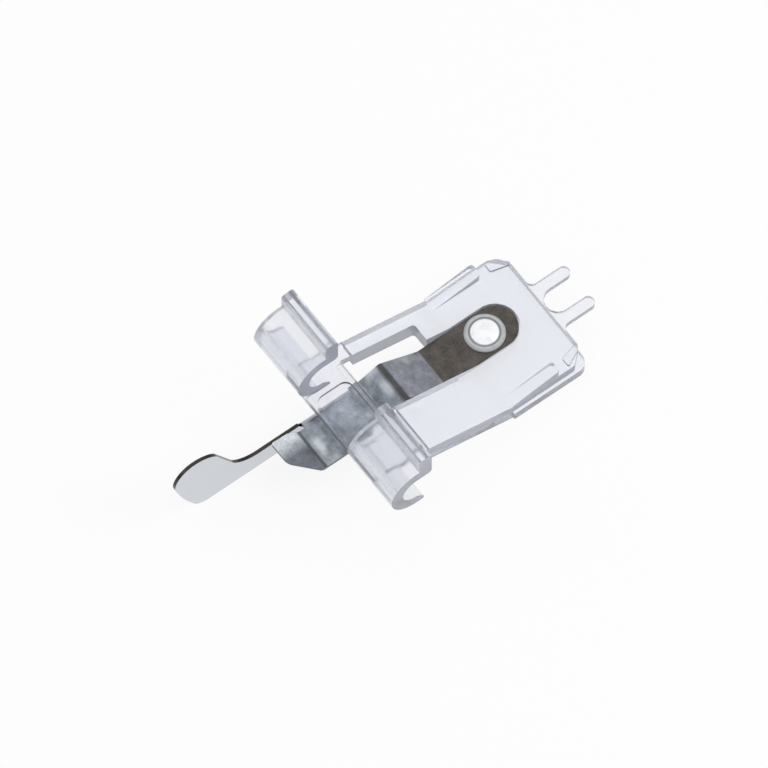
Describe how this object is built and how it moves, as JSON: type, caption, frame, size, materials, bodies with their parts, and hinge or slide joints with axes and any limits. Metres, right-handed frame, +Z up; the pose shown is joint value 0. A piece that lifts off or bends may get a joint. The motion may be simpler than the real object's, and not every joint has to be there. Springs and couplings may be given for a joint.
{
  "type": "sewing machine presser foot",
  "caption": "Clear clip-on presser foot with a folded steel guide blade that rides in a seam for stitch in the ditch quilting.",
  "frame": {"origin": "middle of the axis of the crosswise pin that the two clips grip", "axes": "+X across the foot along the pin, +Y towards the fork at the rear, +Z up; the blade points along -Y"},
  "size_m": [0.029, 0.0601, 0.0177],
  "materials": {
    "clear_plastic": "clear, smooth moulded",
    "guide_steel": "mottled mill finish, blade smoother"
  },
  "bodies": {
    "root": {"clear_sole": "clear_plastic", "guide_blade_strip": "guide_steel"}
  },
  "joints": []
}
